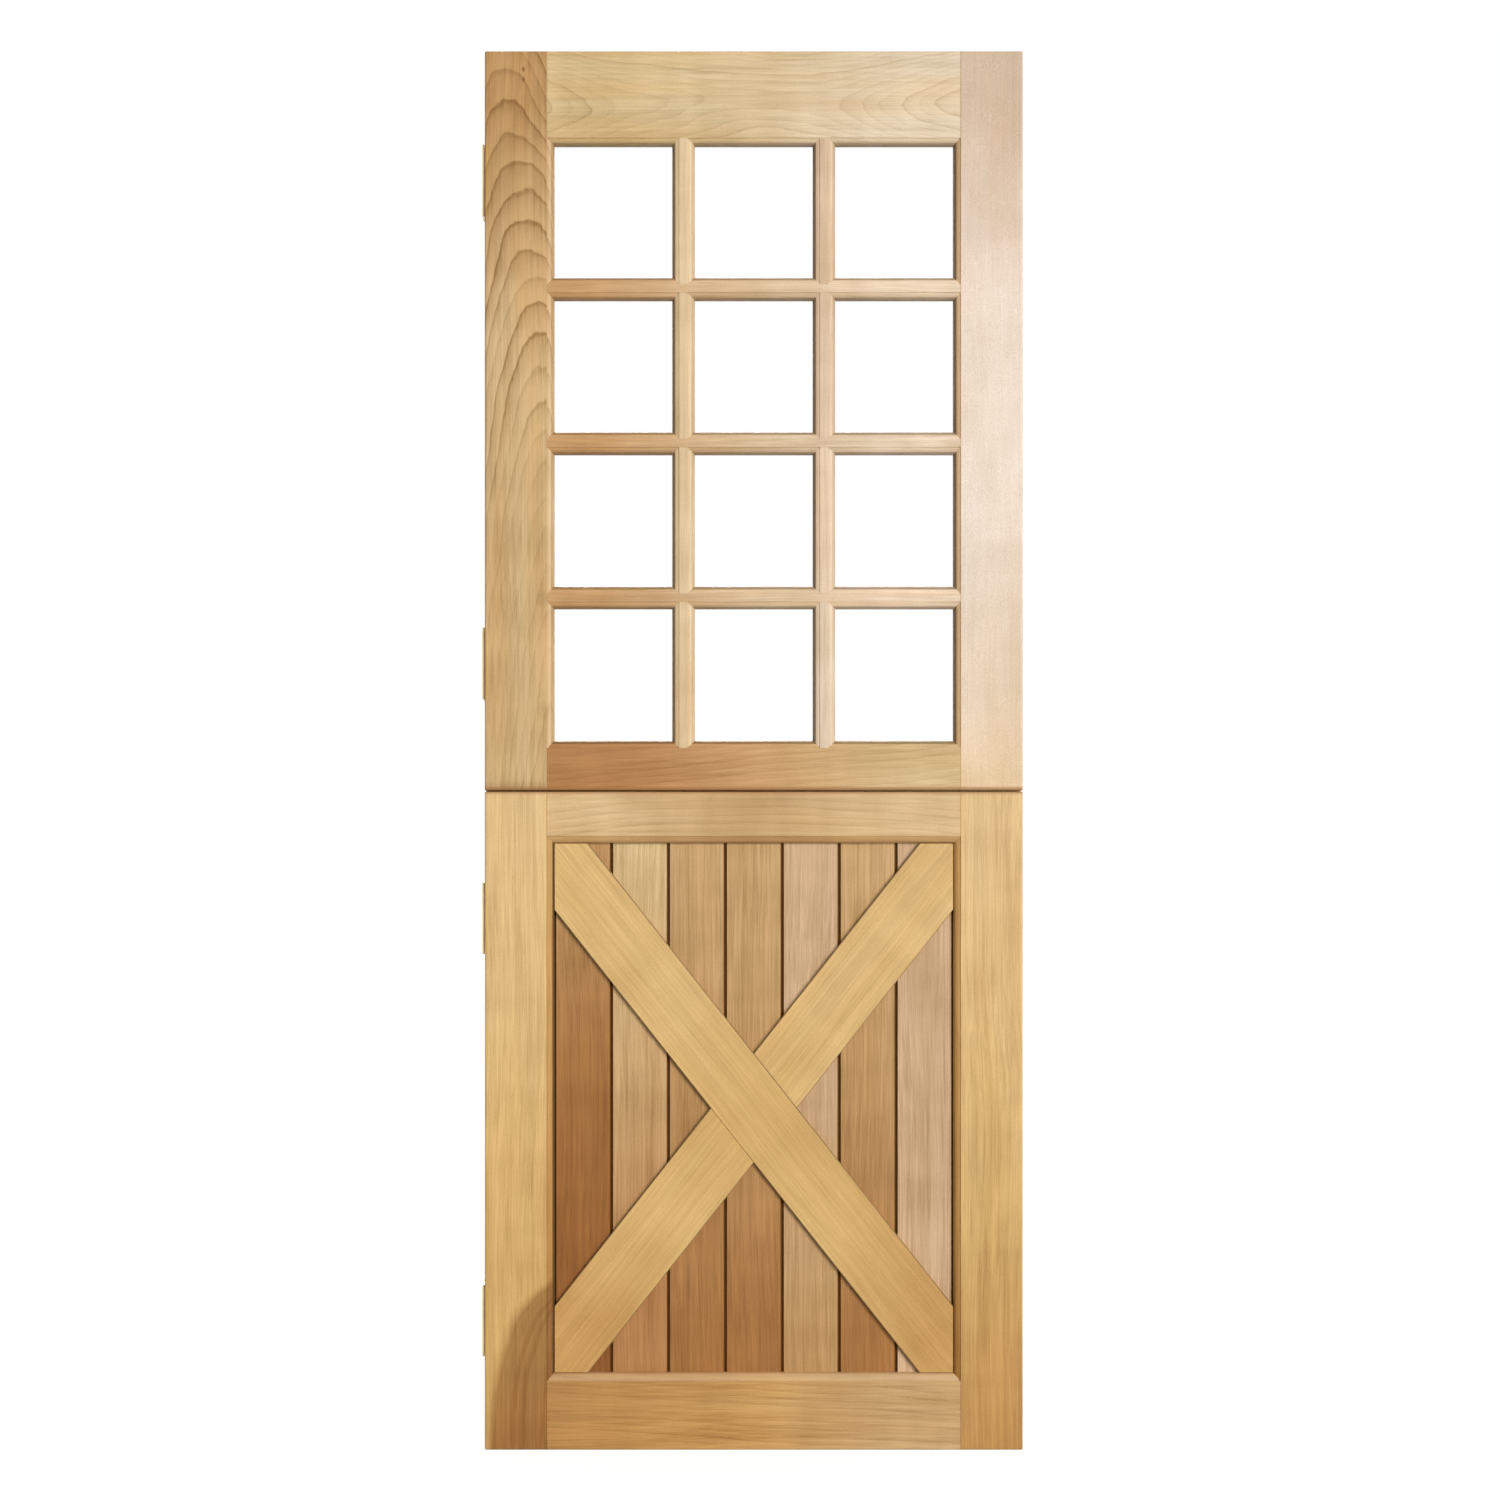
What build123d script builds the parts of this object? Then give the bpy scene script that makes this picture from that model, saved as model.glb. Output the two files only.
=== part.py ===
from build123d import *

import math
import os

# A two-leaf stable door. The upper leaf is glazed with small panes behind moulded bars, and the
# lower leaf is boarded with a crossed brace. Both leaves hang on butt hinges at the left, and a
# barrel bolt on the inside ties them together.
# Millimetres. +X is right seen from the outside, +Y goes through the door to the inside, +Z is up.
# The origin is the middle of the lower leaf's bottom face.

# Overall size
door_width = 762.0
door_height = 1981.0
door_thickness = 44.0
lower_leaf_height = 932.0
meeting_gap = 2.0
arris_radius = 2.5

# Face widths of the frame members, moulding included
stile_width = 98.0
upper_top_rail_width = 133.0
upper_bottom_rail_width = 70.0
lower_top_rail_width = 73.0
lower_bottom_rail_width = 108.0

# Ovolo moulding with a small quirk, worked on every inner edge
ovolo_radius = 9.0
quirk_width = 1.0
quirk_depth = 1.2

# Mortise and tenon joints of the frames
tenon_length = 50.0
tenon_inner_shoulder = 2.0
tenon_outer_shoulder = 12.0
mortise_end_gap = 2.0
scribe_gap = 0.1

# Rebated meeting edge: an upstand outside on the lower leaf, a lip inside on the upper leaf
rebate_drop = 13.0
rebate_gap = 2.0

# Glazing
pane_columns = 3
pane_rows = 4
bar_flat = 12.0
bar_tenon_length = 15.0
bar_stub_length = 5.0
infill_setback = 13.0
glass_thickness = 4.0
glass_edge_play = 1.5
bead_depth = 23.0
bead_slope = 5.0
bead_mitre_gap = 0.2

# Tongued and grooved boards
board_count = 7
board_thickness = 15.0
board_gap = 0.6
board_front_v = 2.2
board_front_v_depth = 3.0
board_back_v = 1.5
tongue_length = 6.0
tongue_thickness = 5.0
tongue_play = 0.15
tongue_end_play = 1.0
panel_groove_depth = 10.0
board_end_gap = 2.0

# Crossed brace
brace_width = 96.0
brace_top_cut = 48.0
brace_setback = 5.0
brace_end_gap = 0.5
brace_arris = 0.6

# Countersunk screws
screw_radius = 2.1
screw_head_radius = 4.4
screw_hole_play = 0.1
screw_length = 25.0
screw_point = 5.0
screw_slot_width = 1.0
screw_slot_depth = 0.9

# Butt hinges
hinge_length = 102.0
hinge_plate_width = 28.0
hinge_plate_thickness = 2.5
hinge_joint_gap = 2.0
hinge_end_distance = 180.0
knuckle_count = 5
knuckle_gap = 0.4
knuckle_clearance = 0.5
hinge_pin_radius = 3.0
hinge_pin_play = 0.05
hinge_pin_head_radius = 4.5
hinge_pin_head_height = 2.0
hinge_pin_head_gap = 0.3
hinge_pin_head_rounding = 0.7
hinge_screw_spacing_across = 14.0
hinge_screw_spacing_along = 70.0
jamb_screw_hole_radius = 2.4

# Barrel bolt and keeper
bolt_plate_thickness = 2.5
bolt_plate_corner = 3.0
bolt_plate_end_gap = 8.0
bolt_strap_length = 14.0
bolt_strap_wall = 2.5
bolt_strap_rounding = 2.0
bolt_strap_end_gap = 4.0
bolt_travel = 25.0
bolt_rod_radius = 5.0
bolt_rod_clearance = 0.5
bolt_rod_retracted_gap = 4.0
bolt_rod_nose = 1.5
bolt_knob_stem_radius = 2.5
bolt_knob_stem_length = 10.0
bolt_knob_radius = 4.5
bolt_knob_length = 9.0
bolt_knob_rounding = 2.0
bolt_knob_end_gap = 5.0
bolt_screw_margin = 1.5
keeper_end_gap = 3.0
keeper_top_gap = 4.0

# How far a cut runs past the face that it opens, and how exactly an edge is found by its place
cut_margin = 1.0
place_tolerance = 0.01

# Levels and edges that follow from the sizes above
front = -door_thickness / 2
back = door_thickness / 2
sticking = ovolo_radius + quirk_width
half_width = door_width / 2
opening_half = half_width - stile_width
shoulder_x = opening_half + sticking
infill_front = front + infill_setback
infill_back = infill_front + board_thickness
board_entry = panel_groove_depth - board_end_gap

lower_top = lower_leaf_height
upper_bottom = lower_leaf_height + meeting_gap
upstand_back = -rebate_gap / 2
lip_front = rebate_gap / 2
lower_back_top = lower_top - rebate_drop
upper_back_bottom = upper_bottom - rebate_drop

panel_bottom = lower_bottom_rail_width
panel_top = lower_top - lower_top_rail_width
light_bottom = upper_bottom + upper_bottom_rail_width
light_top = door_height - upper_top_rail_width

bar_width = bar_flat + 2 * sticking
pane_sight_width = (2 * opening_half - (pane_columns - 1) * bar_width) / pane_columns
pane_sight_height = (light_top - light_bottom - (pane_rows - 1) * bar_width) / pane_rows
pane_pitch_x = pane_sight_width + bar_width
pane_pitch_z = pane_sight_height + bar_width
pane_x = [-opening_half + pane_sight_width / 2 + i * pane_pitch_x for i in range(pane_columns)]
pane_z = [light_top - pane_sight_height / 2 - i * pane_pitch_z for i in range(pane_rows)]
upright_x = [(pane_x[i] + pane_x[i + 1]) / 2 for i in range(pane_columns - 1)]
bar_z = [(pane_z[i] + pane_z[i + 1]) / 2 for i in range(pane_rows - 1)]

os.makedirs("parts", exist_ok=True)


def write(piece, name):
    """Labels a finished piece and writes its STEP file under the same name."""
    piece.part.label = name
    export_step(piece.part, f"parts/{name}.step")


def block(low, high, mode=Mode.ADD):
    """A box between two opposite corners."""
    size = [abs(b - a) for a, b in zip(low, high)]
    middle = [(a + b) / 2 for a, b in zip(low, high)]
    with Locations(tuple(middle)):
        Box(*size, mode=mode)


# Moulded sections. A section is drawn through a function `at`, which turns a distance in from
# the opening's edge and a depth through the door into a point of the sketch.

def draw_ovolo(at, face, inward):
    """The moulding from the face to the straight edge of the opening."""
    shelf_depth = face + inward * quirk_depth
    foot_depth = shelf_depth + inward * ovolo_radius
    slant = ovolo_radius * math.sin(math.radians(45))
    Polyline(at(sticking, face), at(sticking, shelf_depth), at(ovolo_radius, shelf_depth))
    ThreePointArc(
        at(ovolo_radius, shelf_depth),
        at(ovolo_radius - slant, foot_depth - inward * slant),
        at(0, foot_depth),
    )
    return foot_depth


def draw_glazed_edge(at):
    """Inner edge of the upper leaf: moulding in front, rebate for the glass behind."""
    foot = draw_ovolo(at, front, 1)
    Polyline(at(0, foot), at(0, infill_front), at(sticking, infill_front), at(sticking, back))


def draw_grooved_edge(at):
    """Inner edge of the lower leaf: mouldings on both faces and a groove for the boards."""
    front_foot = draw_ovolo(at, front, 1)
    back_foot = draw_ovolo(at, back, -1)
    Polyline(
        at(0, front_foot),
        at(0, infill_front),
        at(panel_groove_depth, infill_front),
        at(panel_groove_depth, infill_back),
        at(0, infill_back),
        at(0, back_foot),
    )


def stile_outline(side, draw_edge):
    """Section of a stile, seen from above; side is -1 for the left one and 1 for the right."""
    outer = side * half_width
    with BuildLine() as outline:
        draw_edge(lambda inset, depth: (side * (opening_half + inset), depth))
        Polyline(
            (side * shoulder_x, front),
            (outer, front),
            (outer, back),
            (side * shoulder_x, back),
        )
    return outline.edges()


def rail_outline(edge_z, outer_z, draw_edge):
    """Section of a rail, seen from its end, from the opening's edge to the outer edge."""
    direction = 1 if outer_z > edge_z else -1
    with BuildLine() as outline:
        draw_edge(lambda inset, depth: (depth, edge_z + direction * inset))
        Polyline(
            (front, edge_z + direction * sticking),
            (front, outer_z),
            (back, outer_z),
            (back, edge_z + direction * sticking),
        )
    return outline.edges()


def bar_outline(place):
    """Section of a glazing bar, moulded on both sides; place turns across and depth to a point."""
    with BuildLine() as outline:
        for side in (-1, 1):
            draw_glazed_edge(lambda inset, depth: place(side * (bar_width / 2 - inset), depth))
        Line(place(-bar_flat / 2, front), place(bar_flat / 2, front))
        Line(place(-bar_flat / 2, back), place(bar_flat / 2, back))
    return outline.edges()


def edges_along(piece, axis, x=None, y=None, z=None):
    """Straight edges of a piece that run along an axis through the given place."""
    found = piece.edges().filter_by(axis)
    for direction, place in ((Axis.X, x), (Axis.Y, y), (Axis.Z, z)):
        if place is not None:
            found = found.filter_by_position(direction, place - place_tolerance, place + place_tolerance)
    return found


# Fixings. The screw stands head up at the origin, and each place says where its head looks.
fitted_hole_radius = screw_radius + screw_hole_play
with BuildPart() as screw:
    head_height = screw_head_radius - screw_radius
    with BuildSketch(Plane.XZ):
        with BuildLine():
            Polyline(
                (0, 0),
                (screw_head_radius, 0),
                (screw_radius, -head_height),
                (screw_radius, -screw_length + screw_point),
                (0, -screw_length),
                close=True,
            )
        make_face()
    revolve(axis=Axis.Z)
    with Locations((0, 0, -screw_slot_depth / 2)):
        Box(2 * screw_head_radius, screw_slot_width, screw_slot_depth, mode=Mode.SUBTRACT)


# Butt hinges. Each has a plate let into the door's edge, a plate for the jamb, and a loose pin.
knuckle_radius = hinge_pin_radius + hinge_pin_play + hinge_plate_thickness
hinge_x = -half_width - hinge_joint_gap / 2
hinge_y = back + knuckle_radius + knuckle_clearance
hinge_plate_middle = back - hinge_plate_width / 2
hinge_z = [
    hinge_end_distance,
    lower_top - hinge_end_distance,
    upper_bottom + hinge_end_distance,
    door_height - hinge_end_distance,
]
knuckle_length = (hinge_length - (knuckle_count - 1) * knuckle_gap) / knuckle_count
knuckle_pitch = knuckle_length + knuckle_gap


def hinge_screw_places(side, z):
    """Plane of a hinge plate's countersunk face; side is 1 for the door's plate, -1 for the jamb's."""
    face_x = hinge_x + side * hinge_joint_gap / 2
    return Plane(origin=(face_x, hinge_plate_middle, z), x_dir=(0, 0, 1), z_dir=(-side, 0, 0))


def hinge_screw_grid():
    """The four screws of a hinge plate."""
    return GridLocations(hinge_screw_spacing_along, hinge_screw_spacing_across, 2, 2)


def make_hinge_plate(side, z, first_knuckle, hole_radius):
    """One plate with every second knuckle rolled round the pin."""
    face_x = hinge_x + side * hinge_joint_gap / 2
    rear_x = face_x + side * hinge_plate_thickness
    with BuildPart() as plate:
        block(
            (face_x, back - hinge_plate_width, z - hinge_length / 2),
            (rear_x, back, z + hinge_length / 2),
        )
        for index in range(first_knuckle, knuckle_count, 2):
            low = z - hinge_length / 2 + index * knuckle_pitch
            block((face_x, back - hinge_plate_thickness, low), (rear_x, hinge_y, low + knuckle_length))
            with Locations((hinge_x, hinge_y, low + knuckle_length / 2)):
                Cylinder(knuckle_radius, knuckle_length)
        with Locations((hinge_x, hinge_y, z)):
            Cylinder(hinge_pin_radius + hinge_pin_play, hinge_length, mode=Mode.SUBTRACT)
        with Locations(hinge_screw_places(side, z)):
            with hinge_screw_grid():
                CounterSinkHole(
                    hole_radius,
                    screw_head_radius,
                    depth=2 * hinge_plate_thickness,
                    counter_sink_angle=90,
                )
    return plate


for number, z in enumerate(hinge_z, start=1):
    write(make_hinge_plate(1, z, 0, fitted_hole_radius), f"hinge_{number}_door_plate")
    write(make_hinge_plate(-1, z, 1, jamb_screw_hole_radius), f"hinge_{number}_jamb_plate")

with BuildPart() as hinge_pins:
    head_low = hinge_length / 2 + hinge_pin_head_gap
    head_high = head_low + hinge_pin_head_height
    for z in hinge_z:
        with Locations((hinge_x, hinge_y, z)):
            Cylinder(hinge_pin_radius, 2 * head_low)
        for end in (-1, 1):
            with Locations((hinge_x, hinge_y, z + end * (head_low + head_high) / 2)):
                Cylinder(hinge_pin_head_radius, hinge_pin_head_height)
    fillet(
        [
            edge
            for edge in hinge_pins.edges().filter_by(GeomType.CIRCLE)
            for z in hinge_z
            if abs(abs(edge.center().Z - z) - head_high) < place_tolerance
        ],
        hinge_pin_head_rounding,
    )
write(hinge_pins, "hinge_pins")


# Barrel bolt on the inside of the right-hand stiles, drawn back, and its keeper below.
bolt_x = (shoulder_x + half_width) / 2
bolt_half_tunnel = bolt_rod_radius + bolt_rod_clearance
bolt_plate_face = back + bolt_plate_thickness
bolt_rod_y = bolt_plate_face + bolt_half_tunnel
bolt_strap_face = bolt_rod_y + bolt_half_tunnel + bolt_strap_wall
bolt_plate_bottom = upper_back_bottom + bolt_plate_end_gap
bolt_strap_spacing = bolt_strap_length + bolt_travel + 2 * (bolt_knob_stem_radius + bolt_knob_end_gap)
bolt_strap_z = [
    bolt_plate_bottom + bolt_strap_end_gap + bolt_strap_length / 2 + i * bolt_strap_spacing
    for i in range(2)
]
bolt_rod_bottom = upper_back_bottom + bolt_rod_retracted_gap
bolt_rod_top = bolt_strap_z[1] + bolt_strap_length / 2 + bolt_travel + bolt_strap_end_gap
bolt_plate_top = bolt_rod_top + bolt_strap_end_gap
bolt_knob_z = bolt_strap_z[1] - bolt_strap_length / 2 - bolt_knob_end_gap - bolt_knob_stem_radius
keeper_top = lower_back_top - keeper_top_gap
keeper_bottom = keeper_top - bolt_strap_length - 2 * keeper_end_gap
keeper_z = (keeper_top + keeper_bottom) / 2
bolt_screw_x = bolt_half_tunnel + bolt_strap_wall + bolt_screw_margin + screw_head_radius


def bolt_screw_places(z):
    """Planes of the two screw heads beside a strap, looking to the inside."""
    return [
        Plane(origin=(bolt_x + side * bolt_screw_x, bolt_plate_face, z), z_dir=(0, 1, 0))
        for side in (-1, 1)
    ]


def make_strapped_plate(bottom, top, strap_z):
    """A flat plate with square straps across it, which leave a tunnel for the rod."""
    half_plate = bolt_screw_x + screw_head_radius + bolt_screw_margin
    half_strap = bolt_half_tunnel + bolt_strap_wall
    with BuildPart() as plate:
        block((bolt_x - half_plate, back, bottom), (bolt_x + half_plate, bolt_plate_face, top))
        fillet(plate.edges().filter_by(Axis.Y), bolt_plate_corner)
        for z in strap_z:
            block(
                (bolt_x - half_strap, bolt_plate_face, z - bolt_strap_length / 2),
                (bolt_x + half_strap, bolt_strap_face, z + bolt_strap_length / 2),
            )
        fillet(edges_along(plate, Axis.Z, y=bolt_strap_face), bolt_strap_rounding)
        block(
            (bolt_x - bolt_half_tunnel, bolt_plate_face, bottom),
            (bolt_x + bolt_half_tunnel, bolt_rod_y + bolt_half_tunnel, top),
            mode=Mode.SUBTRACT,
        )
        for z in strap_z:
            with Locations(*bolt_screw_places(z)):
                CounterSinkHole(
                    fitted_hole_radius,
                    screw_head_radius,
                    depth=2 * bolt_plate_thickness,
                    counter_sink_angle=90,
                )
    return plate


bolt_case = make_strapped_plate(bolt_plate_bottom, bolt_plate_top, bolt_strap_z)
write(bolt_case, "bolt_case")
bolt_keeper = make_strapped_plate(keeper_bottom, keeper_top, [keeper_z])
write(bolt_keeper, "bolt_keeper")

with BuildPart() as bolt_knob:
    with BuildSketch(Plane.XY.offset(bolt_knob_z)):
        stem_end = bolt_rod_y + bolt_rod_radius + bolt_knob_stem_length
        with BuildLine():
            Polyline(
                (bolt_x, bolt_rod_y),
                (bolt_x + bolt_knob_stem_radius, bolt_rod_y),
                (bolt_x + bolt_knob_stem_radius, stem_end),
                (bolt_x + bolt_knob_radius, stem_end),
                (bolt_x + bolt_knob_radius, stem_end + bolt_knob_length),
                (bolt_x, stem_end + bolt_knob_length),
                close=True,
            )
        make_face()
    revolve(axis=Axis((bolt_x, 0, bolt_knob_z), (0, 1, 0)))
    fillet(bolt_knob.edges().group_by(Axis.Y)[-1], bolt_knob_rounding)
write(bolt_knob, "bolt_knob")

with BuildPart() as bolt_rod:
    with BuildSketch(Plane.XY.offset(bolt_rod_bottom)):
        with Locations((bolt_x, bolt_rod_y)):
            Circle(bolt_rod_radius)
    extrude(amount=bolt_rod_top - bolt_rod_bottom)
    chamfer(bolt_rod.edges().filter_by(GeomType.CIRCLE), bolt_rod_nose)
    add(bolt_knob.part, mode=Mode.SUBTRACT)
write(bolt_rod, "bolt_rod")


with BuildPart() as lower_leaf_screws:
    for z in hinge_z[:2]:
        with Locations(hinge_screw_places(1, z)):
            with hinge_screw_grid():
                add(screw.part)
    with Locations(*bolt_screw_places(keeper_z)):
        add(screw.part)
write(lower_leaf_screws, "lower_leaf_screws")

with BuildPart() as upper_leaf_screws:
    for z in hinge_z[2:]:
        with Locations(hinge_screw_places(1, z)):
            with hinge_screw_grid():
                add(screw.part)
    for z in bolt_strap_z:
        with Locations(*bolt_screw_places(z)):
            add(screw.part)
write(upper_leaf_screws, "upper_leaf_screws")


# Tenons, as the heights between which each one stands and how far it goes past its shoulder
def rail_tenon(edge_z, outer_z):
    """A rail's tenon, set in from the moulded edge and from the outer edge."""
    direction = 1 if outer_z > edge_z else -1
    inner = edge_z + direction * (sticking + tenon_inner_shoulder)
    outer = outer_z - direction * tenon_outer_shoulder
    return min(inner, outer), max(inner, outer), tenon_length


upper_top_tenon = rail_tenon(light_top, door_height)
upper_bottom_tenon = rail_tenon(light_bottom, upper_bottom)
lower_top_tenon = rail_tenon(panel_top, lower_back_top)
lower_bottom_tenon = rail_tenon(panel_bottom, 0)
bar_tenons = [(z - bar_flat / 2, z + bar_flat / 2, bar_tenon_length) for z in bar_z]


def tenon_block(side, tenon, extra=0.0, mode=Mode.ADD):
    """The block of a tenon, or of its mortise when extra room and subtraction are asked for."""
    low, high, length = tenon
    block(
        (side * opening_half, infill_front, low),
        (side * (shoulder_x + length + extra), infill_back, high),
        mode=mode,
    )


def make_blank(plane, outline, length, gap):
    """A moulded length of wood before it is rounded and jointed. With a gap, it is the room that
    a piece scribed over the moulding leaves for it."""
    with BuildPart() as blank:
        with BuildSketch(plane):
            make_face(outline)
            if gap:
                offset(amount=gap, kind=Kind.INTERSECTION)
        extrude(amount=length)
    return blank


def make_stile_blank(side, bottom, top, draw_edge, gap=0.0):
    return make_blank(Plane.XY.offset(bottom), stile_outline(side, draw_edge), top - bottom, gap)


def make_rail_blank(edge_z, outer_z, draw_edge, gap=0.0):
    outline = rail_outline(edge_z, outer_z, draw_edge)
    return make_blank(Plane.YZ.offset(-shoulder_x), outline, 2 * shoulder_x, gap)


def make_bar_blank(z, gap=0.0):
    outline = bar_outline(lambda across, depth: (depth, z + across))
    return make_blank(Plane.YZ.offset(-shoulder_x), outline, 2 * shoulder_x, gap)


def make_stile(side, blank, front_ends, back_ends, closed_end, rebate, tenons, hinge_heights, screws):
    """A stile cut from its blank: rebated end, rounded edges, mortises, and room for its fixings."""
    outer = side * half_width
    with BuildPart() as stile:
        add(blank.part)
        block(*rebate, mode=Mode.SUBTRACT)
        rounded = edges_along(stile, Axis.Y, x=outer, z=closed_end)
        for y, ends in ((front, front_ends), (back, back_ends)):
            rounded += edges_along(stile, Axis.Z, x=outer, y=y)
            for z in ends:
                rounded += edges_along(stile, Axis.X, y=y, z=z)
        fillet(rounded, arris_radius)
        for tenon in tenons:
            tenon_block(side, tenon, extra=mortise_end_gap, mode=Mode.SUBTRACT)
        if side < 0:
            for z in hinge_heights:
                block(
                    (-half_width - cut_margin, back - hinge_plate_width, z - hinge_length / 2),
                    (-half_width + hinge_plate_thickness, back + cut_margin, z + hinge_length / 2),
                    mode=Mode.SUBTRACT,
                )
        add(screws.part, mode=Mode.SUBTRACT)
    return stile


def stub_block(x, edge_z, direction, mode=Mode.ADD):
    """The end of an upright past a pane's edge, up to the bottom of its mortise."""
    reach = sticking + bar_stub_length
    block(
        (x - bar_flat / 2, infill_front, edge_z),
        (x + bar_flat / 2, infill_back, edge_z + direction * reach),
        mode=mode,
    )


def make_rail(edge_z, outer, draw_edge, stile_room, tenon, stub_x=(), rebate=None, screws=None):
    """A rail between the stiles, scribed over their mouldings; outer gives its front and back
    levels at the edge away from the opening, which differ at the rebated meeting edge."""
    front_outer, back_outer = outer
    direction = 1 if front_outer > edge_z else -1
    furthest = max(outer) if direction > 0 else min(outer)
    blank = make_rail_blank(edge_z, furthest, draw_edge)
    with BuildPart() as rail:
        add(blank.part)
        if rebate:
            block(*rebate, mode=Mode.SUBTRACT)
        rounded = edges_along(rail, Axis.X, y=front, z=front_outer)
        rounded += edges_along(rail, Axis.X, y=back, z=back_outer)
        fillet(rounded, arris_radius)
        for room in stile_room:
            add(room.part, mode=Mode.SUBTRACT)
        for side in (-1, 1):
            tenon_block(side, tenon)
        for x in stub_x:
            stub_block(x, edge_z, direction, mode=Mode.SUBTRACT)
        if screws:
            add(screws.part, mode=Mode.SUBTRACT)
    return rail


# Upper leaf: two stiles, two rails, three bars right through and short uprights between them
upper_rebate = (
    (-half_width - cut_margin, front - cut_margin, upper_back_bottom - cut_margin),
    (half_width + cut_margin, lip_front, upper_bottom),
)
upper_tenons = [upper_top_tenon, upper_bottom_tenon] + bar_tenons
upper_stile_room = []
for side, name in ((-1, "left"), (1, "right")):
    sides = (side, upper_back_bottom, door_height, draw_glazed_edge)
    upper_stile_room.append(make_stile_blank(*sides, gap=scribe_gap))
    stile = make_stile(
        side,
        make_stile_blank(*sides),
        front_ends=(upper_bottom, door_height),
        back_ends=(upper_back_bottom, door_height),
        closed_end=door_height,
        rebate=upper_rebate,
        tenons=upper_tenons,
        hinge_heights=hinge_z[2:],
        screws=upper_leaf_screws,
    )
    write(stile, f"upper_stile_{name}")

upper_top_rail = make_rail(
    light_top,
    (door_height, door_height),
    draw_glazed_edge,
    upper_stile_room,
    upper_top_tenon,
    stub_x=upright_x,
)
upper_bottom_rail = make_rail(
    light_bottom,
    (upper_bottom, upper_back_bottom),
    draw_glazed_edge,
    upper_stile_room,
    upper_bottom_tenon,
    stub_x=upright_x,
    rebate=upper_rebate,
    screws=upper_leaf_screws,
)
write(upper_top_rail, "upper_top_rail")
write(upper_bottom_rail, "upper_bottom_rail")

for number, (z, tenon) in enumerate(zip(bar_z, bar_tenons), start=1):
    blank = make_bar_blank(z)
    with BuildPart() as bar:
        add(blank.part)
        for room in upper_stile_room:
            add(room.part, mode=Mode.SUBTRACT)
        for side in (-1, 1):
            tenon_block(side, tenon)
            for x in upright_x:
                stub_block(x, z + side * bar_width / 2, -side, mode=Mode.SUBTRACT)
    write(bar, f"glazing_bar_{number}")

crossing_room = [
    make_rail_blank(light_top, door_height, draw_glazed_edge, gap=scribe_gap),
    *[make_bar_blank(z, gap=scribe_gap) for z in bar_z],
    make_rail_blank(light_bottom, upper_bottom, draw_glazed_edge, gap=scribe_gap),
]
for row, z in enumerate(pane_z):
    pane_top = z + pane_sight_height / 2
    pane_bottom = z - pane_sight_height / 2
    for x, name in zip(upright_x, ("left", "right")):
        with BuildPart() as upright:
            with BuildSketch(Plane.XY.offset(pane_bottom - sticking)):
                make_face(bar_outline(lambda across, depth: (x + across, depth)))
            extrude(amount=pane_sight_height + 2 * sticking)
            for room in crossing_room[row : row + 2]:
                add(room.part, mode=Mode.SUBTRACT)
            stub_block(x, pane_top, 1)
            stub_block(x, pane_bottom, -1)
        write(upright, f"bar_upright_{row + 1}_{name}")

# Glass and the mitred beads that hold it from the inside
glass_back = infill_front + glass_thickness
for row, z in enumerate(pane_z, start=1):
    for column, x in enumerate(pane_x, start=1):
        with BuildPart() as pane:
            half_glass_x = pane_sight_width / 2 + sticking - glass_edge_play
            half_glass_z = pane_sight_height / 2 + sticking - glass_edge_play
            block(
                (x - half_glass_x, infill_front, z - half_glass_z),
                (x + half_glass_x, glass_back, z + half_glass_z),
            )
        write(pane, f"glass_pane_{row}_{column}")

bead_plane = Plane(origin=(0, glass_back, 0), x_dir=(1, 0, 0), z_dir=(0, 1, 0))
bead_slope_angle = math.degrees(math.atan2(bead_slope, bead_depth))
with BuildPart() as pane_beads:
    with BuildSketch(bead_plane):
        Rectangle(pane_sight_width + 2 * sticking, pane_sight_height + 2 * sticking)
    extrude(amount=bead_depth)
    with BuildSketch(bead_plane):
        Rectangle(pane_sight_width, pane_sight_height)
    extrude(amount=bead_depth, taper=-bead_slope_angle, mode=Mode.SUBTRACT)
    with BuildSketch(bead_plane):
        corner_x = (pane_sight_width + sticking) / 2
        corner_y = (pane_sight_height + sticking) / 2
        for side_x in (-1, 1):
            for side_y in (-1, 1):
                with Locations((side_x * corner_x, side_y * corner_y)):
                    Rectangle(2 * sticking, bead_mitre_gap, rotation=45 * side_x * side_y)
    extrude(amount=bead_depth, mode=Mode.SUBTRACT)

for row, z in enumerate(pane_z, start=1):
    with BuildPart() as row_beads:
        for x in pane_x:
            with Locations((x, 0, z)):
                add(pane_beads.part)
    write(row_beads, f"glazing_beads_row_{row}")


# Lower leaf: two stiles and two rails, grooved for the boards
lower_rebate = (
    (-half_width - cut_margin, upstand_back, lower_back_top),
    (half_width + cut_margin, back + cut_margin, lower_top + cut_margin),
)
lower_stile_room = []
for side, name in ((-1, "left"), (1, "right")):
    sides = (side, 0, lower_top, draw_grooved_edge)
    lower_stile_room.append(make_stile_blank(*sides, gap=scribe_gap))
    stile = make_stile(
        side,
        make_stile_blank(*sides),
        front_ends=(0, lower_top),
        back_ends=(0, lower_back_top),
        closed_end=0,
        rebate=lower_rebate,
        tenons=[lower_top_tenon, lower_bottom_tenon],
        hinge_heights=hinge_z[:2],
        screws=lower_leaf_screws,
    )
    write(stile, f"lower_stile_{name}")

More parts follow.
